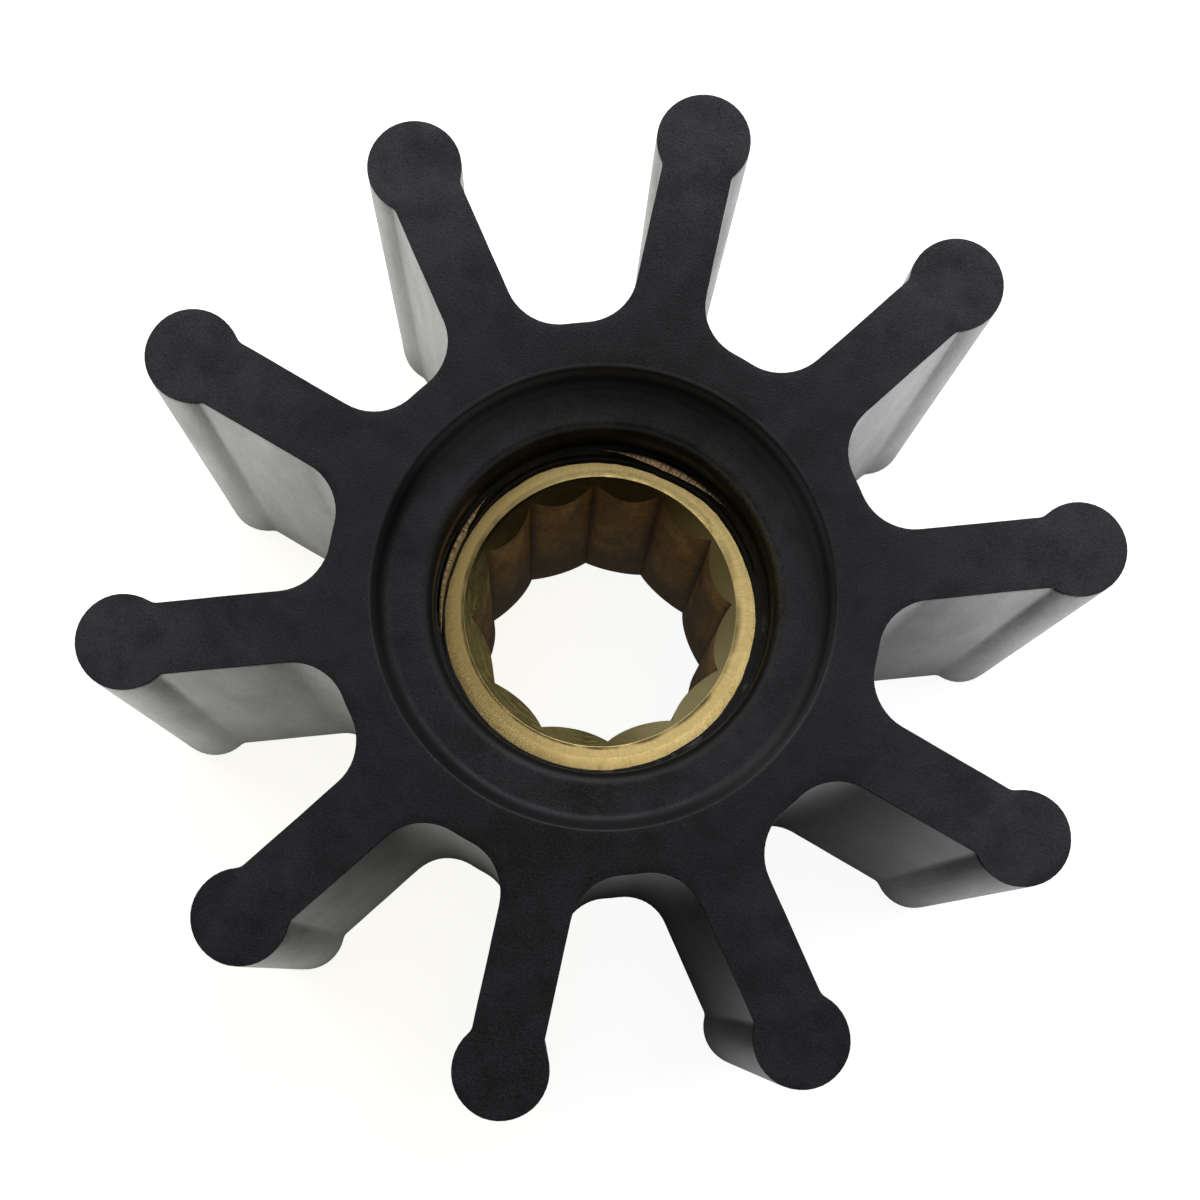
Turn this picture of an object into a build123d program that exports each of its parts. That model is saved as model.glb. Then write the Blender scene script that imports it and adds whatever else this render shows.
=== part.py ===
from build123d import *
from math import pi, radians, sin, sqrt, tan
import os

# A ten-vane flexible pump impeller: a rubber moulding bonded round a brass insert.
# It stands on one end face with its axis on +Z, and its two ends are alike.
# All sizes are in millimetres and all angles in degrees.

# Overall size of the moulding
outside_diameter = 65.0
depth = 50.8

# Vanes: each has a round bead along its tip, and one vane points along +Y
vane_count = 10
vane_thickness = 4.5
bead_overhang = 0.75
root_radius = 3.4
neck_radius = 2.0

# Bore of the insert: rounded lobes stand inward between sharp grooves
lobe_count = 12
crest_diameter = 15.1
groove_depth = 0.8
lead_in_width = 0.3
lead_in_angle = 20.0

# Brass insert: a flat ring at each end, with its outer edge chamfered
insert_length = 37.6
end_ring_width = 1.65
edge_chamfer = 0.35

# Rubber beyond the insert: a well of its diameter with a rounded mouth, a dished recess and a rim
well_mouth_radius = 0.9
recess_width = 3.65
recess_depth = 2.8
recess_draft = 8.0
recess_corner_chamfer = 0.8
rim_width = 2.9

# Direction of the first vane and of the first lobe
first_angle = 90.0

# Radii, built up from the bore to the hub, and in from the outside to the beads
crest_radius = crest_diameter / 2
groove_radius = crest_radius + groove_depth
lead_in_radius = groove_radius + lead_in_width
end_ring_radius = lead_in_radius + end_ring_width
insert_radius = end_ring_radius + edge_chamfer
recess_radius = insert_radius + recess_width
hub_radius = recess_radius + rim_width
bead_radius = vane_thickness / 2 + bead_overhang
bead_centre = outside_diameter / 2 - bead_radius

# Heights above the lower end face
middle = depth / 2
recess_floor = depth - recess_depth


def root_fillet():
    """Radius of the root fillets, held below the one at which two of them meet across a gap."""
    half_pitch = pi / vane_count
    meeting = (hub_radius * sin(half_pitch) - vane_thickness / 2) / (1 - sin(half_pitch))
    return min(root_radius, 0.95 * meeting)


def corners_at(radius, section):
    """The corners of an outline that lie at one distance from the axis."""
    return section.vertices().filter_by(lambda corner: abs(corner.center().length - radius) < 0.01)


def vane_section():
    """Cross-section of the hub, the vanes and their beads, with every inner corner filleted."""
    half_thickness = vane_thickness / 2
    neck = bead_centre - sqrt(bead_radius**2 - half_thickness**2)
    with BuildSketch() as section:
        Circle(hub_radius)
        with PolarLocations(0, vane_count, start_angle=first_angle):
            Rectangle(bead_centre, vane_thickness, align=(Align.MIN, Align.CENTER))
        with PolarLocations(bead_centre, vane_count, start_angle=first_angle):
            Circle(bead_radius)
        fillet(corners_at(hub_radius, section), root_fillet())
        fillet(corners_at(sqrt(neck**2 + half_thickness**2), section), neck_radius)
    return section.sketch


def end_core():
    """What is left open from the middle to the upper end: seat of the insert, well and recess."""
    floor_radius = recess_radius - recess_depth * tan(radians(recess_draft))
    with BuildSketch(Plane.XZ) as profile:
        with BuildLine():
            Polyline(
                (0, middle),
                (insert_radius, middle),
                (insert_radius, recess_floor),
                (floor_radius, recess_floor),
                (recess_radius, depth),
                (0, depth),
                close=True,
            )
        make_face()
        recess_corner = profile.vertices().sort_by_distance((floor_radius, recess_floor))[0]
        chamfer(recess_corner, recess_corner_chamfer)
        well_mouth = profile.vertices().sort_by_distance((insert_radius, recess_floor))[0]
        fillet(well_mouth, well_mouth_radius)
    return revolve(profile.sketch, Axis.Z)


def rubber_impeller():
    """The moulding: hub and vanes through the whole depth, opened from both ends."""
    moulding = extrude(vane_section(), depth)
    core = end_core()
    return moulding - core - core.mirror(Plane.XY.offset(middle))


def lobed_bore():
    """Outline of the bore: one inward arc for each lobe, from groove to groove."""
    pitch = 360 / lobe_count
    with BuildSketch() as outline:
        with BuildLine():
            for lobe in range(lobe_count):
                crest = first_angle + lobe * pitch
                ThreePointArc(
                    Vector(groove_radius, 0).rotate(Axis.Z, crest - pitch / 2),
                    Vector(crest_radius, 0).rotate(Axis.Z, crest),
                    Vector(groove_radius, 0).rotate(Axis.Z, crest + pitch / 2),
                )
        make_face()
    return outline.sketch


def insert_blank():
    """The turned blank, with the outer edge of each end face chamfered."""
    with BuildPart() as blank:
        Cylinder(insert_radius, insert_length)
        chamfer(blank.edges().filter_by(GeomType.CIRCLE), edge_chamfer)
    return blank.part


def brass_insert():
    """The insert: the turned blank with its lobed bore and a conical lead-in at each end."""
    bore = extrude(lobed_bore(), insert_length / 2, both=True)
    cone_height = lead_in_radius / tan(radians(lead_in_angle))
    cone_centre = (insert_length - cone_height) / 2
    lead_in = Pos(0, 0, cone_centre) * Cone(0, lead_in_radius, cone_height)
    insert = insert_blank() - bore - lead_in - lead_in.mirror(Plane.XY)
    return Pos(0, 0, middle) * insert


os.makedirs("parts", exist_ok=True)
for name, piece in (("rubber_impeller", rubber_impeller()), ("brass_insert", brass_insert())):
    piece.label = name
    export_step(piece, f"parts/{name}.step")
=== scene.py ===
from math import atan2, cos, degrees, pi, radians, sin, sqrt, tan

import bpy
import numpy as np
from mathutils import Matrix, Vector, noise


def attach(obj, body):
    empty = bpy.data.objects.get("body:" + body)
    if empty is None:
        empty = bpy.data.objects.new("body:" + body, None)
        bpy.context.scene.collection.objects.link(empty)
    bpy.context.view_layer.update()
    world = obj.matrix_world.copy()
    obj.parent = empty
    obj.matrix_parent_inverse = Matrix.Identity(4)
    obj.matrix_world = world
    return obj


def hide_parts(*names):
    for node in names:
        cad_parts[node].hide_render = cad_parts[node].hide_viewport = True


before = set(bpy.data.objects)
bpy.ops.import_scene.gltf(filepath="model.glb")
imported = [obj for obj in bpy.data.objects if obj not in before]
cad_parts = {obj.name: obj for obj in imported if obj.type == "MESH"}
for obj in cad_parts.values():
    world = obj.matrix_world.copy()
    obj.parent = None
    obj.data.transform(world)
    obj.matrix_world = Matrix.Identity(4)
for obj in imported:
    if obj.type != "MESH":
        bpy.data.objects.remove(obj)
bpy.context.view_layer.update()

# The looks of a ten-vane flexible pump impeller: a black rubber moulding and its brass insert.
# Sizes are in millimetres and angles in degrees, and each mesh is scaled to metres as it is made.

MILLIMETRE = 0.001

# The moulding, as its solid has it, but for the radius of the beads' necks: 2.0 there and sharper here
depth = 50.8
vane_count = 10
vane_thickness = 4.5
hub_radius = 17.2
root_radius = 3.4
neck_radius = 0.8
bead_radius = 3.0
bead_centre = 29.5
recess_radius = 14.3
recess_depth = 2.8
recess_draft = 8.0
well_radius = 10.65
well_mouth_radius = 0.9
first_angle = 90.0

# The insert, as its solid has it
insert_length = 37.6
insert_radius = 10.65
end_ring_radius = 10.3
lead_in_radius = 8.65
lead_in_angle = 20.0
groove_radius = 8.35
crest_radius = 7.55
lobe_count = 12

# The upper lead-in was cut a little off the axis
lead_in_offset, lead_in_toward = 0.17, 241.0

middle = depth / 2
insert_top = middle + insert_length / 2
recess_floor = depth - recess_depth


# ---- Meshes -------------------------------------------------------------------------------------


class Skin:
    """The points and faces of one piece, laid row by row with the outside on the right hand."""

    def __init__(self):
        self.points = []
        self.faces = []

    def row(self, points):
        start = len(self.points)
        self.points.extend(tuple(p) for p in points)
        return list(range(start, len(self.points)))

    def join(self, first, second, closed=True):
        """Faces between two rows, of which one may have twice the points of the other."""
        count = min(len(first), len(second))
        for i in range(count if closed else count - 1):
            j = (i + 1) % count
            if len(first) == len(second):
                self.faces.append((first[i], second[i], second[j], first[j]))
            elif len(first) < len(second):
                a, b, c = second[2 * i], second[2 * i + 1], second[2 * j]
                self.faces += [(first[i], a, b), (first[i], b, first[j]), (b, c, first[j])]
            else:
                a, b, c = first[2 * i], first[2 * i + 1], first[2 * j]
                self.faces += [(a, second[i], b), (second[i], second[j], b), (b, second[j], c)]

    def fan(self, row, tip):
        for i in range(len(row) - 1):
            self.faces.append((row[i], tip, row[i + 1]))

    def piece(self, name, material):
        mesh = bpy.data.meshes.new(name)
        mesh.from_pydata((np.array(self.points) * MILLIMETRE).tolist(), [], self.faces)
        mesh.validate()
        mesh.shade_smooth()
        mesh.materials.append(material)
        made = bpy.data.objects.new(name, mesh)
        bpy.context.scene.collection.objects.link(made)
        return made


def weigh_normals(piece):
    """Keeps flat faces flat in the shading, so that only the rounded edges turn the light."""
    weighted = piece.modifiers.new("flat faces stay flat", "WEIGHTED_NORMAL")
    weighted.keep_sharp = True
    weighted.weight = 80


def noise_at(points, scale, seed):
    """Smooth noise from -1 to 1 at each point, the same in every run."""
    return np.array([noise.noise(Vector(p) * scale + Vector((seed, 2 * seed, -seed))) for p in points])


def arc(centre, radius, start, end, steps, facing=1):
    """Points along an arc, both ends included, and the way out of the material at each."""
    turns = np.radians(np.linspace(start, end, steps + 1))
    ways = np.stack([np.cos(turns), np.sin(turns)], axis=1)
    return np.array(centre) + radius * ways, facing * ways


def straight(start, end, way, steps):
    shares = np.linspace(0, 1, steps + 1)[:, None]
    return np.array(start) * (1 - shares) + np.array(end) * shares, np.tile(way, (steps + 1, 1))


def round_corners(corners, steps):
    """A polyline with its corners rounded: each corner is (r, z, radius)."""
    line = []
    for i, (r, z, radius) in enumerate(corners):
        here = np.array([r, z], float)
        if radius == 0:
            line.append(here)
            continue
        back = np.array(corners[i - 1][:2]) - here
        ahead = np.array(corners[i + 1][:2]) - here
        back /= np.linalg.norm(back)
        ahead /= np.linalg.norm(ahead)
        half_angle = np.arccos(np.clip(back @ ahead, -1, 1)) / 2
        reach = radius / tan(half_angle)
        bisector = (back + ahead) / np.linalg.norm(back + ahead)
        centre = here + bisector * radius / sin(half_angle)
        a = here + back * reach - centre
        b = here + ahead * reach - centre
        turn = np.arccos(np.clip(a @ b / radius**2, -1, 1))
        for share in np.linspace(0, 1, steps + 1):
            line.append(centre + (a * sin((1 - share) * turn) + b * sin(share * turn)) / sin(turn))
    return np.array(line)


# ---- The rubber moulding ------------------------------------------------------------------------

hub_steps, root_steps, flank_steps, neck_steps, bead_steps = 2, 10, 10, 5, 14
gate = hub_steps + root_steps
gate_steps = 4
wall_steps = 14
face_rows = 4
edge_steps = 3
edge_round = 0.05
mouth_round = 0.25
recess_corner_round = 0.8
wall_wander, end_wander, inside_wander = 0.012, 0.02, 0.02
end_reach = 2.5

# The thin film of rubber that crept over each end of the insert while it was moulded: how far in
# its edge lies, how far that edge is off the axis, and the strand that stands up along part of it.
# The rest is how much the edge and the surface wander, and how softly one stretch meets the next.
film_radius = 9.88
film_offset = 0.42
film_height = 0.045
film_tuck = 0.05
film_ripple, film_grain = 0.018, 0.012
edge_slope = 0.05
edge_sway, edge_ragged, edge_dip = 0.09, 0.035, 0.15
least_room = 0.12
strand_width, strand_height = 0.5, 0.12
wide_share, narrow_share = 0.5, 0.22
dip_soft, strand_soft, bare_soft = 30, 14, 30
foot_radius = 0.1
upper_film = {
    "toward": -96.0,
    "strand": (30, 204),
    "narrow": (150, 216),
    "bare": ((56, 94), (154, 202)),
    "dips": ((156, 188), (66, 94)),
    "seed": 4,
}
# The lower end's film follows no photograph
lower_film = {
    "toward": 148.0,
    "strand": (-70, 60),
    "narrow": (-30, 10),
    "bare": ((-52, 8),),
    "dips": ((-20, 20),),
    "seed": 17,
}


def half_outline():
    """Half of a vane's outline, from the middle of the gap beside it to its tip."""
    half = vane_thickness / 2
    root_x = sqrt((hub_radius + root_radius) ** 2 - (half + root_radius) ** 2)
    root_angle = degrees(atan2(half + root_radius, root_x))
    neck_x = bead_centre - sqrt((bead_radius + neck_radius) ** 2 - (half + neck_radius) ** 2)
    bead_angle = degrees(atan2(half + neck_radius, neck_x - bead_centre))
    stretches = [
        arc((0, 0), hub_radius, 180 / vane_count, root_angle, hub_steps),
        arc((root_x, half + root_radius), root_radius, 180 + root_angle, 270, root_steps, -1),
        straight((root_x, half), (neck_x, half), (0, 1), flank_steps),
        arc((neck_x, half + neck_radius), neck_radius, 270, 180 + bead_angle, neck_steps, -1),
        arc((bead_centre, 0), bead_radius, bead_angle, 0, bead_steps),
    ]
    points = np.concatenate([s[0][min(i, 1):] for i, s in enumerate(stretches)])
    ways = np.concatenate([s[1][min(i, 1):] for i, s in enumerate(stretches)])
    return points, ways


def turned(pairs, angle):
    c, s = cos(radians(angle)), sin(radians(angle))
    return pairs @ np.array([[c, s], [-s, c]])


def whole_outline():
    """The outline of all the vanes, counterclockwise, starting in the middle of a gap."""
    points, ways = half_outline()
    flip = np.array([1, -1])
    vane_points = np.concatenate([points * flip, points[-2:0:-1]])
    vane_ways = np.concatenate([ways * flip, ways[-2:0:-1]])
    angles = [first_angle + 360 / vane_count * i for i in range(vane_count)]
    return (
        np.concatenate([turned(vane_points, a) for a in angles]),
        np.concatenate([turned(vane_ways, a) for a in angles]),
    )


def wall_row(points, ways, z, inset, end_share):
    """One row of the outside wall. Near the ends its edge wanders a little, as ground rubber does."""
    places = np.column_stack([points, np.full(len(points), z)])
    slow = noise_at(places * (1, 1, 0.15), 0.16, 3)
    quick = noise_at(places * (1, 1, 0.6), 0.55, 9)
    wander = wall_wander * (1 + slow) + end_share * end_wander * (1 + quick)
    shifted = points - ways * (inset + wander)[:, None]
    return np.column_stack([shifted, np.full(len(points), z)])


def ring_of(radii, heights, angles, upper):
    """The points of one row round the axis; the lower end is the mirror image of the upper one."""
    turns = np.radians(angles)
    heights = np.broadcast_to(heights if upper else depth - heights, turns.shape)
    return np.column_stack([radii * np.cos(turns), radii * np.sin(turns), heights])


def between(angles, start, end, soft):
    """1 between two directions and 0 beyond them, with soft ends."""
    off = (angles - (start + end) / 2 + 180) % 360 - 180
    share = np.clip(((end - start) / 2 - np.abs(off)) / soft + 0.5, 0, 1)
    return share * share * (3 - 2 * share)


def film_lines(angles, film):
    """The film and the foot of the well's wall, as (radii, heights) from the film's edge outward."""
    circle = ring_of(1.0, 0.0, angles, True)
    seed = film["seed"]
    foot = well_radius - foot_radius
    edge = film_radius + film_offset * np.cos(np.radians(angles - film["toward"]))
    edge += edge_sway * noise_at(circle, 3.0, seed) + edge_ragged * noise_at(circle, 13.0, seed + 1)
    edge -= edge_dip * sum(between(angles, *dip, dip_soft) for dip in film["dips"])
    edge = np.minimum(edge, foot - least_room)
    narrowed = between(angles, *film["narrow"], dip_soft)
    width = np.minimum(strand_width, (wide_share - (wide_share - narrow_share) * narrowed) * (foot - edge))
    strand = strand_height * between(angles, *film["strand"], strand_soft)
    strand *= 1 + 0.5 * noise_at(circle, 7.0, seed + 2)
    bare = sum(between(angles, *patch, bare_soft) for patch in film["bare"])
    bare += 0.16 * noise_at(circle, 11.0, seed + 5)
    ripple = film_ripple * noise_at(circle, 9.0, seed + 3)
    lines = [(edge - edge_slope, insert_top - film_tuck)]
    for share in (0.1, 0.3, 0.5, 0.7, 0.9):
        arch = sqrt(1 - (2 * share - 1) ** 2)
        lines.append((edge + width * share, insert_top + film_height + ripple + strand * arch))
    start = edge + width
    for share in (0.0, 0.12, 0.3, 0.5, 0.7, 0.88, 1.0):
        open_share = np.clip(3 * (bare - 0.8 * abs(2 * share - 1)), 0, 1)
        grain = film_grain * noise_at(circle * (1 + share), 16.0, seed + 4)
        height = (film_height + ripple + grain) * (1 - open_share) - film_tuck * open_share
        lines.append((start + (foot - start) * share, insert_top + height))
    for turn in np.radians((30, 60, 90)):
        radii = foot + foot_radius * sin(turn) * np.ones(len(angles))
        lines.append((radii, insert_top + height + foot_radius * (1 - cos(turn))))
    return lines


def end_profile():
    """Half of the inside beyond the insert, as (radius, height), from the well's wall to the end face."""
    floor_radius = recess_radius - recess_depth * tan(radians(recess_draft))
    line = round_corners(
        [
            (well_radius, insert_top + 1.2, 0),
            (well_radius, recess_floor, well_mouth_radius),
            (floor_radius, recess_floor, recess_corner_round),
            (recess_radius, depth, mouth_round),
            (recess_radius + 1, depth, 0),
        ],
        7,
    )
    return line[:-1]


def inside_rows(skin, angles, upper, seat):
    """Rows of the inside from the seat's middle row to one end. The film's rows have twice the points."""
    film = upper_film if upper else lower_film
    spread = angles[1] - angles[0]
    fine = np.array([a + half for a in angles for half in (0, spread / 2)])
    angles = np.array(angles)
    rows = [seat, skin.row(ring_of(well_radius, insert_top - film_tuck, angles, upper))]
    for radii, heights in film_lines(fine, film):
        rows.append(skin.row(ring_of(radii, heights, fine, upper)))
    for r, z in end_profile():
        circle = ring_of(r, z, angles, True)
        sway = inside_wander * noise_at(circle, 0.35, film["seed"]) * (r <= recess_radius)
        rows.append(skin.row(ring_of(r + sway, z, angles, upper)))
    return rows


def end_face(skin, mouth, edge, upper):
    """One end face: a grid from the recess's mouth to the outline, and strips out along the vanes.

    The lower face is laid the other way round, so that it faces down.
    """
    tip = hub_steps + root_steps + flank_steps + neck_steps + bead_steps
    per_vane = 2 * tip
    columns = []
    strips = []
    points = np.array(skin.points)
    for vane in range(vane_count):
        right = [edge[vane * per_vane + i] for i in range(tip + 1)]
        left = [edge[(vane * per_vane + per_vane - i) % len(edge)] for i in range(tip)]
        strip = []
        for i in range(gate, tip):
            a, b = points[right[i]], points[left[i]]
            across = skin.row([a + (b - a) * k / gate_steps for k in range(1, gate_steps)])
            strip.append([right[i], *across, left[i]])
        strips.append((strip, right[tip]))
        columns += right[:gate] + strip[0] + left[gate - 1:0:-1]
    rows = [mouth]
    points = np.array(skin.points)
    for k in range(1, face_rows):
        rows.append(skin.row(points[mouth] + (points[columns] - points[mouth]) * k / face_rows))
    rows.append(columns)
    side = 1 if upper else -1
    for inner, outer in zip(rows, rows[1:]):
        skin.join(*(inner, outer)[::side])
    for strip, tip_point in strips:
        for inner, outer in zip(strip, strip[1:]):
            skin.join(*(inner, outer)[::side], closed=False)
        skin.fan(strip[-1][::side], tip_point)


def rubber_moulding(material):
    """The moulding as one closed skin: inside up, top face out, wall down, bottom face in."""
    skin = Skin()
    columns_per_vane = 2 * gate + gate_steps
    spread = 360 / vane_count / columns_per_vane
    start = first_angle - 180 / vane_count
    angles = [start + spread * i for i in range(vane_count * columns_per_vane)]
    seat = skin.row(ring_of(well_radius, middle, np.array(angles), True))
    upper = inside_rows(skin, angles, True, seat)
    lower = inside_rows(skin, angles, False, seat)
    for a, b in zip(upper, upper[1:]):
        skin.join(a, b)
    for a, b in zip(lower, lower[1:]):
        skin.join(b, a)

    points, ways = whole_outline()
    turns = [pi / 2 * (1 - k / edge_steps) for k in range(edge_steps + 1)]
    levels = [(depth - edge_round * (1 - sin(t)), edge_round * (1 - cos(t))) for t in turns]
    inner_top, inner_bottom = depth - edge_round, edge_round
    for k in range(1, wall_steps):
        share = 0.5 - 0.5 * cos(pi * k / wall_steps)
        levels.append((inner_top + (inner_bottom - inner_top) * share, 0))
    levels += [(depth - z, inset) for z, inset in levels[edge_steps::-1]]
    rows = []
    for z, inset in levels:
        from_end = min(z, depth - z)
        end_share = max(0.0, 1 - from_end / end_reach) ** 2
        rows.append(skin.row(wall_row(points, ways, z, inset, end_share)))
    for a, b in zip(rows, rows[1:]):
        skin.join(a, b)
    end_face(skin, upper[-1], rows[0], True)
    end_face(skin, lower[-1], rows[-1], False)
    piece = skin.piece("rubber_moulding", material)
    weigh_normals(piece)
    return piece


# ---- The brass insert ---------------------------------------------------------------------------

lobe_steps = 20
bore_rows = 10
cone_rows = 4
shoulder_round = 0.1

# The fine burr on the edge of the lead-in: its height, how much that varies, and its ledge and foot
burr_height, burr_ripple = 0.015, 0.02
burr_ledge, burr_foot, flat_start = 0.04, 0.1, 0.4


def bore_radius(angle):
    """Radius of the lobed bore in one direction: an arc from groove to groove, crest in the middle."""
    half = radians(180 / lobe_count)
    corner_x, corner_y = groove_radius * cos(half), groove_radius * sin(half)
    centre = (corner_x**2 + corner_y**2 - crest_radius**2) / (2 * (corner_x - crest_radius))
    radius = centre - crest_radius
    off = radians((angle - first_angle + 180 / lobe_count) % (360 / lobe_count)) - half
    return centre * cos(off) - sqrt(radius**2 - (centre * sin(off)) ** 2)


def insert_rows(skin, angles, upper):
    """Rows of the insert from the middle of its bore to the middle of its outside."""
    turns = np.radians(angles)
    bore = np.array([bore_radius(a) for a in angles])
    offset = lead_in_offset if upper else 0.0
    mouth = lead_in_radius + offset * np.cos(turns - radians(lead_in_toward))
    edge_depth = (mouth - bore) / tan(radians(lead_in_angle))
    top = insert_top
    lines = []
    # The bore's rows lie closer toward the end, and the cone's last row lies just short of its burr
    for k in range(bore_rows + 1):
        share = (k / bore_rows) ** 0.8
        lines.append((bore, middle + (top - edge_depth - middle) * share))
    for k in range(1, cone_rows + 1):
        share = min(k / cone_rows, 0.985)
        lines.append((bore + (mouth - bore) * share, top - edge_depth * (1 - share)))
    rim = ring_of(1.0, 0.0, angles, True)
    burr = burr_height + burr_ripple * noise_at(rim, 9.0, 31 if upper else 37)
    ring = np.ones(len(turns))
    lines.append((mouth, top + burr))
    lines.append((mouth + burr_ledge, top + burr))
    lines.append((mouth + burr_foot, top * ring))
    shoulder = round_corners(
        [
            (lead_in_radius + flat_start, top, 0),
            (end_ring_radius, top, shoulder_round),
            (insert_radius, top - (insert_radius - end_ring_radius), shoulder_round),
            (insert_radius, middle, 0),
        ],
        3,
    )
    lines += [(r * ring, z * ring) for r, z in shoulder]
    if not upper:
        lines = lines[1:-1]
    return [skin.row(ring_of(r, z, angles, upper)) for r, z in lines]


def brass_bush(material):
    """The turned insert: lobed bore, conical lead-ins, flat end rings and tapered shoulders."""
    skin = Skin()
    count = lobe_count * lobe_steps
    angles = first_angle + 360 / count * np.arange(count)
    upper = insert_rows(skin, angles, True)
    lower = [upper[0], *insert_rows(skin, angles, False), upper[-1]]
    for a, b in zip(upper, upper[1:]):
        skin.join(a, b)
    for a, b in zip(lower, lower[1:]):
        skin.join(b, a)
    piece = skin.piece("brass_bush", material)
    scallops = set(upper[bore_rows]) | set(lower[bore_rows])
    groove_columns = [i for i in range(count) if (i + lobe_steps // 2) % lobe_steps == 0]
    grooves = set()
    for rows in (upper, lower):
        for row in rows[:bore_rows + cone_rows]:
            grooves |= {row[i] for i in groove_columns}
    for edge in piece.data.edges:
        a, b = edge.vertices
        along_groove = a in grooves and b in grooves
        edge.use_edge_sharp = along_groove or (a in scallops and b in scallops)
    weigh_normals(piece)
    return piece


# ---- Node tools ---------------------------------------------------------------------------------


def colour(red, green, blue):
    return (red, green, blue, 1.0)


def add(tree, kind, inputs=None, **options):
    """Adds a node, sets its options, and feeds its inputs with numbers or with other nodes."""
    made = tree.nodes.new(kind)
    for name, value in options.items():
        setattr(made, name, value)
    for name, value in (inputs or {}).items():
        if isinstance(value, bpy.types.NodeSocket):
            tree.links.new(value, made.inputs[name])
        else:
            made.inputs[name].default_value = value
    return made


def maths(tree, operation, *values):
    return add(tree, "ShaderNodeMath", dict(enumerate(values)), operation=operation).outputs[0]


def ramp(tree, value, low, high, to_low=0.0, to_high=1.0):
    """Carries a value from one range to another with soft ends."""
    inputs = {"Value": value, "From Min": low, "From Max": high, "To Min": to_low, "To Max": to_high}
    made = add(tree, "ShaderNodeMapRange", inputs, interpolation_type="SMOOTHSTEP")
    return made.outputs[0]


def blend(tree, factor, first, second):
    """Mixes two colours."""
    made = add(tree, "ShaderNodeMix", {0: factor, 6: first, 7: second}, data_type="RGBA")
    return made.outputs[2]


def pair(tree, factor, first, second):
    """Mixes two numbers."""
    return add(tree, "ShaderNodeMix", {0: factor, 2: first, 3: second}, data_type="FLOAT").outputs[0]


def times(tree, place, amount):
    """A place or a direction, scaled by one number."""
    return add(tree, "ShaderNodeVectorMath", {0: place, "Scale": amount}, operation="SCALE").outputs[0]


def stretched(tree, place, amounts):
    """A place with each axis scaled by its own amount."""
    return add(tree, "ShaderNodeVectorMath", {0: place, 1: amounts}, operation="MULTIPLY").outputs[0]


def distance(tree, place, point):
    return add(tree, "ShaderNodeVectorMath", {0: place, 1: point}, operation="DISTANCE").outputs["Value"]


def apart(tree, vector):
    """The three parts of a vector."""
    return add(tree, "ShaderNodeSeparateXYZ", {0: vector}).outputs


def both(tree, first, second):
    """The product of two masks, or a mask turned down by a number."""
    return maths(tree, "MULTIPLY", first, second)


def toward(tree, direction, way, low, high):
    """A mask of the side of the part that lies a given way from the axis."""
    facing = add(tree, "ShaderNodeVectorMath", {0: direction, 1: way}, operation="DOT_PRODUCT")
    return ramp(tree, facing.outputs["Value"], low, high)


def patched(tree, mask, low, high, first, second):
    """Two colours, the second where the mask is high."""
    return blend(tree, ramp(tree, mask, low, high), colour(*first), colour(*second))


def noise_value(tree, place, scale, detail=2.0, roughness=0.5):
    inputs = {"Vector": place, "Scale": scale, "Detail": detail, "Roughness": roughness}
    return add(tree, "ShaderNodeTexNoise", inputs).outputs[0]


def new_group(name, inputs, outputs):
    """A shader node group with named inputs, as (name, kind, value), and named outputs."""
    group = bpy.data.node_groups.new(name, "ShaderNodeTree")
    for label, kind, value in inputs:
        socket = group.interface.new_socket(label, in_out="INPUT", socket_type="NodeSocket" + kind)
        if value is not None:
            socket.default_value = value
    for label, kind in outputs:
        group.interface.new_socket(label, in_out="OUTPUT", socket_type="NodeSocket" + kind)
    source = group.nodes.new("NodeGroupInput").outputs
    sink = group.nodes.new("NodeGroupOutput").inputs
    return group, source, sink


def use(tree, group, **inputs):
    """Places a node group and feeds it; underscores in the names stand for spaces."""
    made = tree.nodes.new("ShaderNodeGroup")
    made.node_tree = group
    for name, value in inputs.items():
        socket = made.inputs[name.replace("_", " ")]
        if isinstance(value, bpy.types.NodeSocket):
            tree.links.new(value, socket)
        else:
            socket.default_value = value
    return made.outputs


def make_where_group():
    """Where a point is on the part, in millimetres: its place, its radius, its height and its way out."""
    group, _, sink = new_group(
        "where on the part",
        [],
        [("Place", "Vector"), ("Radius", "Float"), ("From End", "Float"), ("Height", "Float"),
         ("Upright", "Float"), ("Direction", "Vector")],
    )
    coordinates = group.nodes.new("ShaderNodeTexCoord").outputs["Object"]
    place = times(group, coordinates, 1 / MILLIMETRE)
    height = apart(group, place)[2]
    flat = stretched(group, place, (1.0, 1.0, 0.0))
    radius = add(group, "ShaderNodeVectorMath", {0: flat}, operation="LENGTH").outputs["Value"]
    direction = add(group, "ShaderNodeVectorMath", {0: flat}, operation="NORMALIZE").outputs[0]
    off_middle = maths(group, "ABSOLUTE", maths(group, "SUBTRACT", height, middle))
    from_end = maths(group, "SUBTRACT", middle, off_middle)
    normal = group.nodes.new("ShaderNodeNewGeometry").outputs["Normal"]
    upright = maths(group, "ABSOLUTE", apart(group, normal)[2])
    for name, value in (
        ("Place", place), ("Radius", radius), ("From End", from_end), ("Height", height),
        ("Upright", upright), ("Direction", direction),
    ):
        group.links.new(value, sink[name])
    return group


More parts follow.
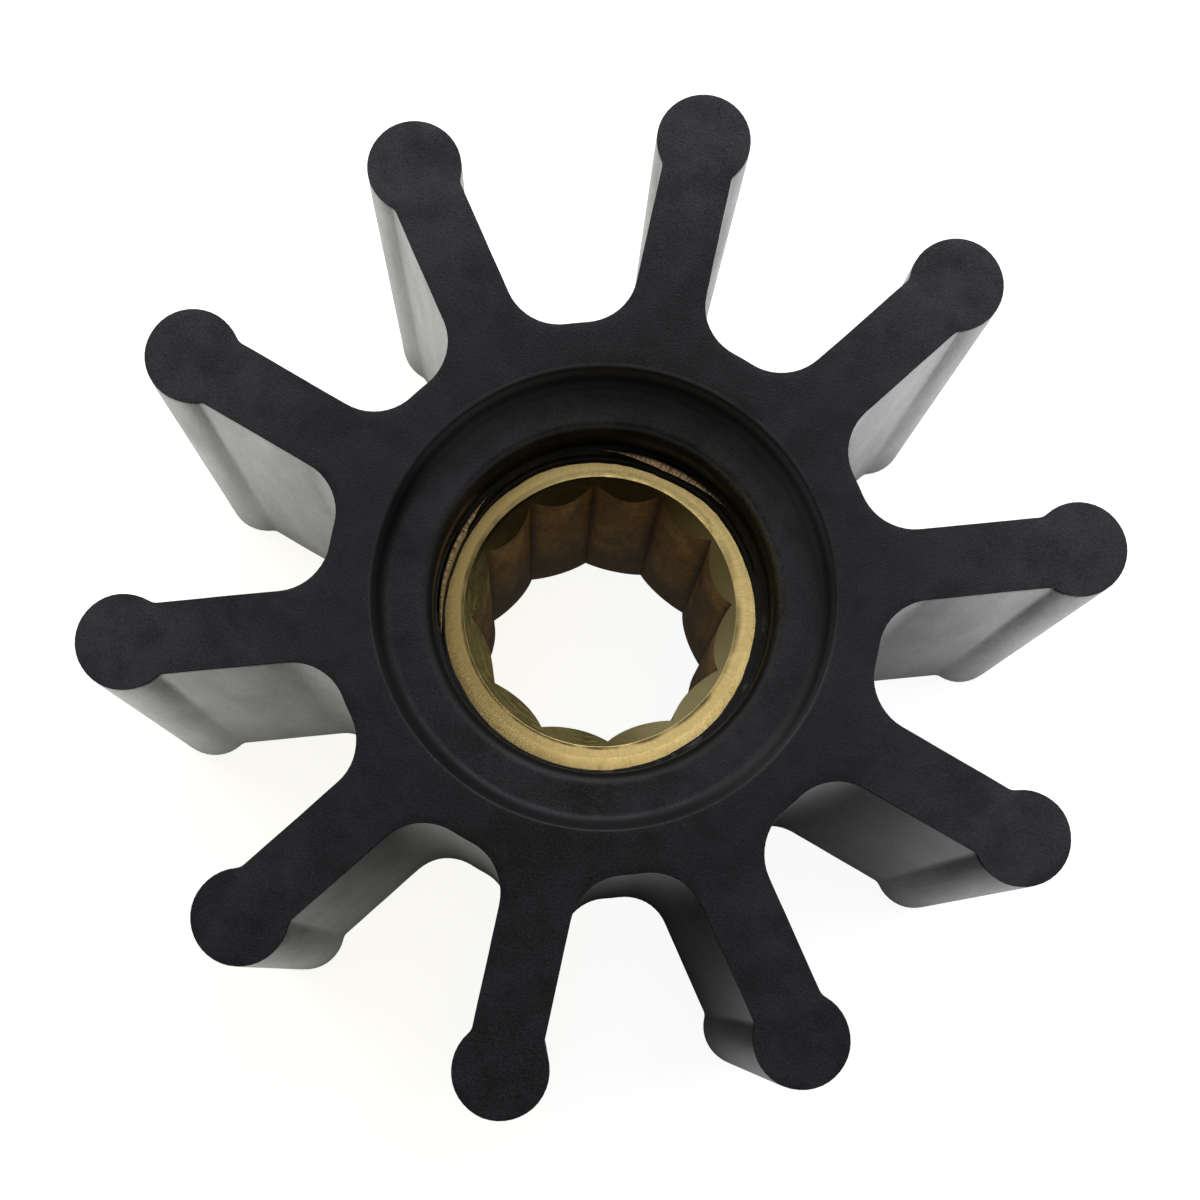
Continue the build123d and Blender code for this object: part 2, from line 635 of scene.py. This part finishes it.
def make_mottle_group():
    """Clouds with a fine grain over them, from 0 to 1 about a half."""
    group, source, sink = new_group(
        "clouds and grain",
        [("Place", "Vector", None), ("Cloud Size", "Float", 3.0), ("Grain Size", "Float", 0.15),
         ("Grain Share", "Float", 0.5)],
        [("Mottle", "Float"), ("Clouds", "Float")],
    )
    clouds = noise_value(group, source["Place"], maths(group, "DIVIDE", 1, source["Cloud Size"]), 4.0, 0.6)
    grain = noise_value(group, source["Place"], maths(group, "DIVIDE", 1, source["Grain Size"]), 1.5, 0.6)
    group.links.new(pair(group, source["Grain Share"], clouds, grain), sink["Mottle"])
    group.links.new(clouds, sink["Clouds"])
    return group


def make_streak_group():
    """Fine streaks that run straight out from the axis, or along it on a wall, unbroken all round."""
    group, source, sink = new_group(
        "streaks round the axis",
        [("Direction", "Vector", None), ("Across", "Float", None), ("Count", "Float", 60.0),
         ("Break Up", "Float", 1.0)],
        [("Streaks", "Float")],
    )
    around = times(group, source["Direction"], source["Count"])
    along = both(group, source["Across"], source["Break Up"])
    lift = add(group, "ShaderNodeCombineXYZ", {2: along}).outputs[0]
    place = add(group, "ShaderNodeVectorMath", {0: around, 1: lift}, operation="ADD").outputs[0]
    group.links.new(noise_value(group, place, 1.0, 2.5, 0.6), sink["Streaks"])
    return group


# ---- Materials ----------------------------------------------------------------------------------

where_group = make_where_group()
mottle_group = make_mottle_group()
streak_group = make_streak_group()


def new_material(name):
    material = bpy.data.materials.new(name)
    material.use_nodes = True
    tree = material.node_tree
    return material, tree, tree.nodes["Principled BSDF"].inputs


# Where the finishes and the painted light and shade change, in millimetres: radii, and for the corner
# and the lip depths below the end face; each is where a change starts and where it is complete
well_finish_reach = (well_radius + 0.25, well_radius + 0.85)
recess_mouth = (recess_radius + 0.1, recess_radius + 0.3)
mouth_depth = (0.1, 0.6)
recess_corner = (0.9, 1.9, recess_depth - 0.12, recess_depth - 0.01)
lip_depth = (recess_depth + 0.2, recess_depth + 0.5)
glint_ring = (10.2, 10.3, 10.42, 10.5)
painted_light_reach = (recess_radius + 0.2, 31.0)
bright_film_edge = (film_radius + 0.12, film_radius + 0.3)
dull_film_edge = (film_radius + 0.6, film_radius + 0.85)
ring_middle = (9.3, 9.6)
groove_darkening = (8.0, 8.3)
rim_shadow = (8.48, 8.54)
bore_shade_height = (15.0, 21.0)


def ground_finish(tree, where, mottle, blotches, in_recess):
    """Colour of the ground faces, with painted light: paler toward the left and right sides, in mottled
    patches out along the vanes and toward the top, and near the recess's upper wall; dust lies in the recess.
    """
    sideways, upward, _ = apart(tree, where["Place"])
    _, up_share, _ = apart(tree, where["Direction"])
    ground = patched(tree, mottle["Mottle"], 0.34, 0.66, (0.003, 0.0031, 0.0037), (0.0182, 0.0187, 0.021))
    # Painted light: the end faces are paler toward the left and right sides
    off_middle = maths(tree, "ABSOLUTE", maths(tree, "DIVIDE", sideways, where["Radius"]))
    ground = blend(tree, both(tree, off_middle, 0.36), ground, colour(0.041, 0.041, 0.047))
    # Lighter in the recess: dust in mottled patches, and near its upper wall painted light that lifts the
    # wall's shadow
    near_wall = ramp(tree, where["Radius"], 12.4, 13.4, 0.0, 0.75)
    near_wall = both(tree, ramp(tree, up_share, 0.2, 0.9), near_wall)
    dust_and_painted_light = maths(tree, "ADD", near_wall, ramp(tree, mottle["Mottle"], 0.3, 0.7, 0.02, 0.42))
    ground = blend(tree, both(tree, in_recess, dust_and_painted_light), ground, colour(0.055, 0.0555, 0.059))
    # Mottled paler patches, scuffs in part and painted light in part: they grow out along the vanes and
    # toward the top
    painted_light_toward_top = ramp(tree, upward, -24.0, -4.0, 0.3, 1.0)
    painted_light_spread = both(tree, ramp(tree, where["Radius"], *painted_light_reach), painted_light_toward_top)
    scuffs_and_painted_light = both(tree, painted_light_spread, ramp(tree, mottle["Mottle"], 0.2, 0.75))
    ground = blend(tree, scuffs_and_painted_light, ground, colour(0.062, 0.062, 0.071))
    specks = noise_value(tree, where["Place"], 9.0, 1.0, 0.5)
    ground = blend(tree, ramp(tree, specks, 0.66, 0.8), ground, colour(0.045, 0.046, 0.049))
    return blend(tree, ramp(tree, blotches, 0.45, 0.68, 0.0, 0.36), ground, colour(0.004, 0.004, 0.0045))


def moulded_finish(tree, where, bloom, in_recess):
    """Colour of the walls as they came from the mould, with painted light and shade on the recess's wall:
    lighter toward the right and much lighter on the upper side, darker on the lower side and at the mouth on
    the upper side.
    """
    right_share, up_share, _ = apart(tree, where["Direction"])
    moulded = patched(tree, bloom["Mottle"], 0.35, 0.65, (0.01, 0.01, 0.0102), (0.02, 0.02, 0.02))
    # Painted light: the recess's wall is lighter toward the right and on the upper side
    recess_wall = patched(tree, right_share, -0.9, 0.9, (0.026, 0.026, 0.028), (0.068, 0.068, 0.071))
    upper_wall = ramp(tree, up_share, 0.2, 0.7, 0.0, 0.8)
    recess_wall = blend(tree, upper_wall, recess_wall, colour(0.19, 0.19, 0.194))
    # Painted shade: darker on the lower side, and at the mouth on the upper side
    lower_wall = ramp(tree, up_share, -0.9, -0.4, 0.8, 0.0)
    recess_wall = blend(tree, lower_wall, recess_wall, colour(0.01, 0.01, 0.011))
    at_mouth = ramp(tree, where["From End"], *mouth_depth, 0.8, 0.0)
    at_mouth = both(tree, at_mouth, ramp(tree, up_share, -0.2, 0.5))
    recess_wall = blend(tree, at_mouth, recess_wall, colour(0.03, 0.03, 0.032))
    return blend(tree, in_recess, moulded, recess_wall)


def corner_shade(tree, where, in_recess):
    """A mask of painted shade in the corner of the recess, which fades out at its lower side."""
    deep, full, leave, gone = recess_corner
    _, up_share, _ = apart(tree, where["Direction"])
    above = ramp(tree, where["From End"], deep, full, 0.0, 0.58)
    corner = both(tree, above, ramp(tree, where["From End"], leave, gone, 1.0, 0.0))
    corner = both(tree, corner, ramp(tree, up_share, -0.85, -0.2))
    return both(tree, corner, in_recess)


def well_finish(tree, where, mottle):
    """Colour in the wells: brown on the upper side, a stain and a painted reflection of the brass, grey
    below, a painted olive reflection at the lip on the right, and painted glints in strokes on the film at
    the lower right.
    """
    _, up_share, _ = apart(tree, where["Direction"])
    # Brown, partly a stain and partly a painted reflection of the brass; it is kept to the upper side below
    stain_and_reflection = patched(tree, mottle["Mottle"], 0.36, 0.64, (0.009, 0.008, 0.006), (0.029, 0.024, 0.014))
    # A painted olive reflection near the lip on the right side
    near_lip = both(
        tree,
        ramp(tree, where["From End"], *lip_depth, 1.0, 0.0),
        toward(tree, where["Direction"], (0.96, 0.28, 0.0), 0.6, 0.8),
    )
    olive_reflection_at_lip = both(tree, near_lip, ramp(tree, mottle["Mottle"], 0.4, 0.6))
    stain_and_reflection = blend(tree, olive_reflection_at_lip, stain_and_reflection, colour(0.06, 0.052, 0.022))
    stain_and_reflection = blend(tree, ramp(tree, up_share, -0.35, 0.35), colour(0.012, 0.012, 0.0125), stain_and_reflection)
    start, full, leave, gone = glint_ring
    on_film = both(
        tree, ramp(tree, where["Radius"], start, full), ramp(tree, where["Radius"], leave, gone, 1.0, 0.0)
    )
    # Painted glints: broken light strokes on the film at the lower right
    strokes = noise_value(tree, times(tree, where["Direction"], 5.0), 1.0, 3.0, 0.6)
    painted_glint_strokes = both(
        tree,
        both(tree, on_film, ramp(tree, strokes, 0.5, 0.6)),
        toward(tree, where["Direction"], (0.85, -0.53, 0.0), 0.55, 0.8),
    )
    return blend(tree, painted_glint_strokes, stain_and_reflection, colour(0.07, 0.07, 0.068))


def black_rubber():
    """Nitrile rubber: ground matt on the end faces, smooth from the mould elsewhere, stained and with painted
    reflections and glints in the wells; the end faces and the recess carry painted light and shade too.
    """
    material, tree, shader = new_material("black_rubber")
    where = use(tree, where_group)
    mottle = use(
        tree, mottle_group, Place=where["Place"], Cloud_Size=2.6, Grain_Size=0.14, Grain_Share=0.55
    )
    blotches = noise_value(tree, where["Place"], 0.42, 5.0, 0.62)
    drawn = stretched(tree, where["Place"], (1.0, 1.0, 0.16))
    bloom = use(tree, mottle_group, Place=drawn, Cloud_Size=2.0, Grain_Size=0.2, Grain_Share=0.4)
    facing_up = ramp(tree, where["Upright"], 0.8, 0.97)
    in_well = ramp(tree, where["Radius"], *well_finish_reach, 1.0, 0.0)
    in_recess = ramp(tree, where["Radius"], *recess_mouth, 1.0, 0.0)

    ground = ground_finish(tree, where, mottle, blotches, in_recess)
    base = blend(tree, facing_up, moulded_finish(tree, where, bloom, in_recess), ground)
    # Painted shade in the corner of the recess
    base = blend(tree, corner_shade(tree, where, in_recess), base, colour(0.004, 0.004, 0.0045))
    base = blend(tree, in_well, base, well_finish(tree, where, mottle))
    tree.links.new(base, shader["Base Color"])

    wall_rough = pair(tree, in_recess, ramp(tree, bloom["Mottle"], 0.3, 0.7, 0.28, 0.35), 0.5)
    rough = pair(tree, facing_up, wall_rough, ramp(tree, blotches, 0.36, 0.64, 0.45, 0.48))
    tree.links.new(pair(tree, in_well, rough, 0.42), shader["Roughness"])
    lift = pair(tree, facing_up, both(tree, bloom["Mottle"], 0.1), mottle["Mottle"])
    bump = add(tree, "ShaderNodeBump", {"Height": lift, "Strength": 0.5, "Distance": 0.00008})
    tree.links.new(bump.outputs[0], shader["Normal"])
    shader["Specular IOR Level"].default_value = 0.2
    return material


def ring_finish(tree, where, streaks, mottle, inner_half):
    """Colour of the end ring: brushed brass, darker toward its left side as painted shade, and coppery behind
    the film's edge.
    """
    brushed = patched(tree, streaks, 0.3, 0.7, (0.7, 0.52, 0.2), (0.83, 0.64, 0.28))
    smooth = patched(tree, mottle["Clouds"], 0.35, 0.65, (0.68, 0.5, 0.2), (0.8, 0.61, 0.26))
    ring = blend(tree, inner_half, smooth, brushed)
    # Painted shade: the ring is darker toward the left
    painted_shade_left = both(tree, toward(tree, where["Direction"], (-0.97, -0.24, 0.0), 0.0, 0.95), 0.93)
    ring = blend(tree, painted_shade_left, ring, colour(0.36, 0.26, 0.1))
    away = radians(upper_film["toward"])
    film_middle = (film_offset * cos(away), film_offset * sin(away), 0.0)
    off_film = distance(tree, stretched(tree, where["Place"], (1.0, 1.0, 0.0)), film_middle)
    coppery = patched(tree, streaks, 0.38, 0.62, (0.3, 0.18, 0.085), (0.95, 0.66, 0.37))
    coppery = blend(tree, ramp(tree, off_film, *dull_film_edge), coppery, colour(0.05, 0.034, 0.02))
    return blend(tree, ramp(tree, off_film, *bright_film_edge), ring, coppery)


def bore_finish(tree, where, drawn, patches):
    """Colour of the bore's lobes: tarnish with murky patches, darker low down as painted shade, and darker
    toward the grooves.
    """
    stain = patched(tree, patches, 0.3, 0.7, (0.3, 0.187, 0.058), (0.86, 0.595, 0.2))
    murky = noise_value(tree, drawn, 0.55, 4.0, 0.62)
    stain = blend(tree, ramp(tree, murky, 0.47, 0.62, 0.0, 0.5), stain, colour(0.17, 0.125, 0.04))
    # Painted shade low down in the bore; the lobes also darken toward the grooves
    low_down = both(tree, ramp(tree, where["Height"], *bore_shade_height, 1.0, 0.0), 0.65)
    in_groove = both(tree, ramp(tree, where["Radius"], *groove_darkening), 0.7)
    return blend(tree, maths(tree, "MAXIMUM", low_down, in_groove), stain, colour(0.09, 0.065, 0.04))


def cone_finish(tree, where, patches):
    """Colour of the lead-in cones: olive tarnish with fine lighter turning lines that also stand in for
    glints, darker toward the top as painted shade, paler toward the right as painted light, and a painted
    shadow under the rim at the upper left.
    """
    right_share, _, _ = apart(tree, where["Direction"])
    olive = patched(tree, patches, 0.3, 0.7, (0.14, 0.118, 0.042), (0.3, 0.25, 0.095))
    quick_rise = add(tree, "ShaderNodeCombineXYZ", {2: both(tree, where["Height"], 5.0)}).outputs[0]
    slow_turn = times(tree, where["Direction"], 5.0)
    turning = add(tree, "ShaderNodeVectorMath", {0: slow_turn, 1: quick_rise}, operation="ADD").outputs[0]
    # Lighter turning lines: tool marks, painted lighter so they stand in for glints too
    turning_lines_and_glints = ramp(tree, noise_value(tree, turning, 1.0, 2.0, 0.6), 0.53, 0.6, 0.0, 0.6)
    olive = blend(tree, turning_lines_and_glints, olive, colour(0.52, 0.43, 0.18))
    # Painted shade toward the top, then painted light toward the right
    dark_side = both(tree, toward(tree, where["Direction"], (-0.35, 0.94, 0.0), 0.2, 0.9), 0.78)
    olive = blend(tree, dark_side, olive, colour(0.05, 0.045, 0.024))
    olive = blend(tree, ramp(tree, right_share, 0.15, 0.8, 0.0, 0.72), olive, colour(0.72, 0.62, 0.32))
    # Painted shadow under the rim, at the upper left
    under_rim = both(
        tree,
        ramp(tree, where["Radius"], *rim_shadow),
        toward(tree, where["Direction"], (-0.5, 0.87, 0.0), 0.55, 0.8),
    )
    return blend(tree, under_rim, olive, colour(0.02, 0.017, 0.01))


def turned_brass():
    """Brass: bright and brushed on the end rings, coppery behind the film's edge, tarnished in the bore, with
    painted shade low down.
    """
    material, tree, shader = new_material("turned_brass")
    where = use(tree, where_group)
    mottle = use(
        tree, mottle_group, Place=where["Place"], Cloud_Size=2.2, Grain_Size=0.12, Grain_Share=0.4
    )
    streaks = use(
        tree, streak_group, Direction=where["Direction"], Across=where["Radius"], Count=90.0, Break_Up=1.6
    )["Streaks"]
    drawn = stretched(tree, where["Place"], (1.0, 1.0, 0.22))
    patches = use(
        tree, mottle_group, Place=drawn, Cloud_Size=2.4, Grain_Size=0.25, Grain_Share=0.3
    )["Mottle"]
    facing_up = ramp(tree, where["Upright"], 0.85, 0.95)
    on_wall = ramp(tree, where["Upright"], 0.05, 0.2, 1.0, 0.0)
    inner_half = ramp(tree, where["Radius"], *ring_middle, 1.0, 0.0)

    ring = ring_finish(tree, where, streaks, mottle, inner_half)
    base = blend(tree, facing_up, cone_finish(tree, where, patches), ring)
    base = blend(tree, on_wall, base, bore_finish(tree, where, drawn, patches))
    tree.links.new(base, shader["Base Color"])
    tree.links.new(pair(tree, facing_up, 0.35, 1.0), shader["Metallic"])
    shader["Specular Tint"].default_value = colour(0.85, 0.64, 0.36)
    ring_rough = pair(tree, inner_half, 0.26, 0.32)
    tree.links.new(pair(tree, facing_up, 0.5, ring_rough), shader["Roughness"])
    height = pair(tree, facing_up, both(tree, patches, 0.8), streaks)
    bump = add(tree, "ShaderNodeBump", {"Height": height, "Strength": 0.3, "Distance": 0.00003})
    tree.links.new(bump.outputs[0], shader["Normal"])
    return material


# The floor's painted shadow under the part, as a glow that the smooth walls mirror, in millimetres; the
# painted shade close to the walls is in metres
shadow_middle = (7.5, -15.5, 0.0)
shadow_core, shadow_reach = 6.5, 46.0
shadow_dark, shadow_bright = 0.03, 1.15
bore_shade, bore_light, bore_glow = 9.0, 14.0, 0.1
wall_shade = 0.005
tone_edge = 8.0
floor_glow = 0.93


def white_floor():
    """A white floor: white for the camera, and for mirrored rays a glow with a painted shadow under the part,
    a dim painted glow under the bore and a warmer tint at the left.
    """
    material, tree, shader = new_material("white_floor")
    shader["Base Color"].default_value = colour(0.8, 0.8, 0.8)
    shader["Roughness"].default_value = 0.9
    shader["Specular IOR Level"].default_value = 0.1
    coordinates = tree.nodes.new("ShaderNodeTexCoord").outputs["Object"]
    place = times(tree, coordinates, 1 / MILLIMETRE)
    from_shadow = distance(tree, place, shadow_middle)
    from_axis = distance(tree, place, (0.0, 0.0, 0.0))
    near_walls = add(tree, "ShaderNodeAmbientOcclusion", {"Distance": wall_shade}, samples=1).outputs["AO"]
    outside = ramp(tree, from_shadow, shadow_core, shadow_reach, shadow_dark, shadow_bright)
    outside = both(tree, both(tree, outside, near_walls), ramp(tree, from_axis, bore_shade, bore_light))
    inside = ramp(tree, from_axis, bore_shade, bore_light, bore_glow, 0.0)
    lit = maths(tree, "ADD", inside, outside)
    # A warmer tint toward the left, mirrored in the walls as a painted warm reflection
    tone = patched(tree, apart(tree, place)[0], -tone_edge, tone_edge, (1.0, 0.99, 0.945), (1, 1, 1))
    path = tree.nodes.new("ShaderNodeLightPath").outputs
    mirrored = both(tree, path["Is Glossy Ray"], lit)
    seen = both(tree, path["Is Camera Ray"], floor_glow)
    tree.links.new(tone, shader["Emission Color"])
    tree.links.new(maths(tree, "MAXIMUM", seen, mirrored), shader["Emission Strength"])
    return material


# ---- Pieces -------------------------------------------------------------------------------------

moulding = rubber_moulding(black_rubber())
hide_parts("rubber_impeller")
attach(moulding, "root")

bush = brass_bush(turned_brass())
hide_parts("brass_insert")
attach(bush, "root")

# ---- Floor, light and camera --------------------------------------------------------------------

# In metres, and the camera's angles in degrees; the camera looks down from a little in front
floor_size = 3.0
aim_height = 0.025
room_light = 0.04
focal_length = 85.394
camera_place = (0.000857, -0.023714, 0.22382)
camera_heading, camera_tilt, camera_roll = 2.590, 7.697, 9.745


def plain_floor(size):
    """A square floor under the part."""
    skin = Skin()
    half = size / 2 / MILLIMETRE
    corners = skin.row([(-half, -half, 0), (half, -half, 0), (half, half, 0), (-half, half, 0)])
    skin.faces.append(tuple(corners))
    return skin.piece("floor", white_floor())


plain_floor(floor_size)


def soft_box(name, direction, elevation, reach, size, power, tint=(1, 1, 1)):
    """A square area light that faces the part; direction is its bearing, counterclockwise from +X."""
    lamp = bpy.data.lights.new(name, "AREA")
    lamp.shape = "SQUARE"
    lamp.size = size
    lamp.energy = power
    lamp.color = tint
    box = bpy.data.objects.new(name, lamp)
    bpy.context.scene.collection.objects.link(box)
    a, e = radians(direction), radians(elevation)
    way = Vector((cos(a) * cos(e), sin(a) * cos(e), sin(e)))
    box.location = Vector((0, 0, aim_height)) + way * reach
    box.rotation_mode = "QUATERNION"
    box.rotation_quaternion = way.to_track_quat("Z", "Y")


soft_box("top light", 90, 46, 0.5, 0.3, 1.2, (0.95, 0.975, 1.0))
soft_box("left light", 150, 38, 0.5, 0.3, 0.42, (1.0, 0.985, 0.94))
soft_box("right light", 28, 38, 0.5, 0.3, 0.34)
soft_box("overhead light", 72, 85.6, 0.6, 0.14, 0.125)

world = bpy.data.worlds.new("pale room")
bpy.context.scene.world = world
world.use_nodes = True
sky = world.node_tree.nodes["Background"].inputs
camera_ray = world.node_tree.nodes.new("ShaderNodeLightPath").outputs["Is Camera Ray"]
sky["Color"].default_value = colour(1, 1, 1)
world.node_tree.links.new(pair(world.node_tree, camera_ray, room_light, 1.0), sky["Strength"])

lens = bpy.data.cameras.new("camera")
lens.sensor_width = 36.0
lens.lens = focal_length
lens.clip_start, lens.clip_end = 0.01, 10.0
camera = bpy.data.objects.new("camera", lens)
bpy.context.scene.collection.objects.link(camera)
heading = Matrix.Rotation(radians(camera_heading), 4, "Z")
tilt = Matrix.Rotation(radians(camera_tilt), 4, "X")
roll = Matrix.Rotation(radians(camera_roll), 4, "Z")
camera.matrix_world = Matrix.Translation(camera_place) @ heading @ tilt @ roll
bpy.context.scene.camera = camera
bpy.context.scene.view_settings.view_transform = "Standard"
